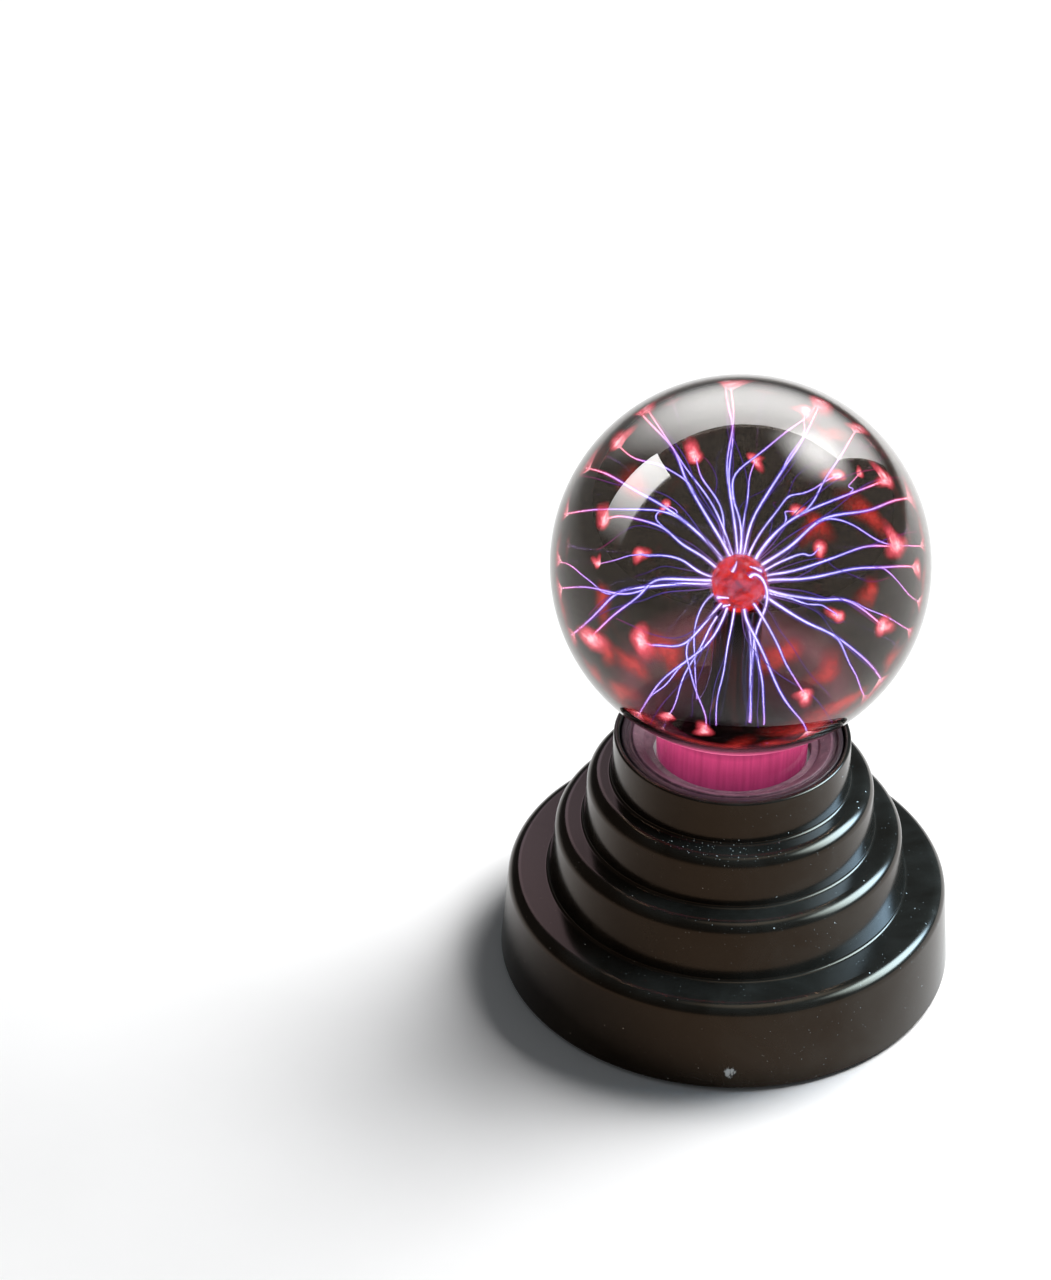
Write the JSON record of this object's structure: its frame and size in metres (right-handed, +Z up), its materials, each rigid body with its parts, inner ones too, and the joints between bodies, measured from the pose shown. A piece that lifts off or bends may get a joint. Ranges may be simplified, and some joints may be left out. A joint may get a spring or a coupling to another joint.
{
  "type": "plasma ball",
  "caption": "Desk plasma ball: a clear glass globe with a lit electrode on a black stem, standing in a stepped round base with a power socket and slide switch at the back.",
  "frame": {"origin": "centre of the circle that the rubber feet stand on, on the resting surface", "axes": "+Z up the globe's axis; +Y towards the power socket and the slide switch, the back; +X to the right seen from the front"},
  "size_m": [0.101, 0.101, 0.1417],
  "materials": {
    "globe_glass": "clear, polished, faintly smoky",
    "electrode_glass": "clear bulb, lit coral red from inside",
    "stem_coating": "glass tube with a glossy black coating",
    "base_plastic": "polished black moulding with a little dust",
    "ring_plastic": "satin dark grey, dusty",
    "cover_plastic": "fine-textured black moulding",
    "foot_rubber": "soft matt black",
    "silicone": "cured translucent white",
    "steel_wool": "fine matted strands",
    "screw_steel": "zinc plated",
    "board_laminate": "green solder mask",
    "ferrite": "sintered, satin dark grey",
    "bobbin_nylon": "moulded black nylon",
    "winding_copper": "enamelled copper wire",
    "winding_tape": "yellow polyester tape",
    "epoxy_black": "moulded epoxy",
    "tinned_metal": "tin plated",
    "heatsink_aluminium": "extruded, plain",
    "capacitor_sleeve": "shrink sleeve, dark blue",
    "film_case": "dipped, red-brown",
    "disc_ceramic": "dipped, orange-brown",
    "resistor_body": "tan lacquer",
    "capsule_aluminium": "drawn, plain",
    "boot_rubber": "soft matt black",
    "jack_plastic": "moulded black",
    "switch_steel": "nickel plated",
    "switch_plastic": "moulded black",
    "terminal_phenolic": "brown phenolic sheet",
    "contact_metal": "plain spring brass",
    "wire_insulation": "red silicone",
    "solder_metal": "bright solder",
    "discharge_gas": "glowing gas: violet-white filaments with pink ends"
  },
  "bodies": {
    "base": {"glass_globe": "globe_glass", "inner_stem": "stem_coating", "electrode_bulb": "electrode_glass", "steel_wool_wad": "steel_wool", "stem_plug": "silicone", "exhaust_tip": "globe_glass", "base_housing": "base_plastic", "globe_seat_ring": "ring_plastic", "neck_sealant": "silicone", "bottom_cover": "cover_plastic", "cover_screws": "screw_steel", "rubber_feet": "foot_rubber", "circuit_board": "board_laminate", "board_screws": "screw_steel", "transformer_core": "ferrite", "transformer_bobbin": "bobbin_nylon", "primary_winding": "winding_copper", "secondary_winding": "winding_tape", "transistor_body": "epoxy_black", "transistor_tab": "tinned_metal", "heatsink": "heatsink_aluminium", "heatsink_screw": "screw_steel", "electrolytic_capacitors": "capacitor_sleeve", "film_capacitor": "film_case", "ceramic_capacitors": "disc_ceramic", "resistors": "resistor_body", "small_transistors": "epoxy_black", "control_chip": "epoxy_black", "component_leads": "tinned_metal", "solder_joints": "solder_metal", "microphone_capsule": "capsule_aluminium", "microphone_boot": "boot_rubber", "jack_body": "jack_plastic", "jack_pin": "tinned_metal", "jack_contact": "contact_metal", "switch_can": "switch_steel", "switch_base": "terminal_phenolic", "switch_contacts": "contact_metal", "high_voltage_lead": "wire_insulation"},
    "switch_button": {"switch_slider": "switch_plastic", "switch_wiper": "contact_metal"}
  },
  "joints": [
    {"name": "power_switch", "type": "slide", "parent": "base", "child": "switch_button", "axis": [1, 0, 0], "range_m": [-0.002, 0.002]}
  ]
}
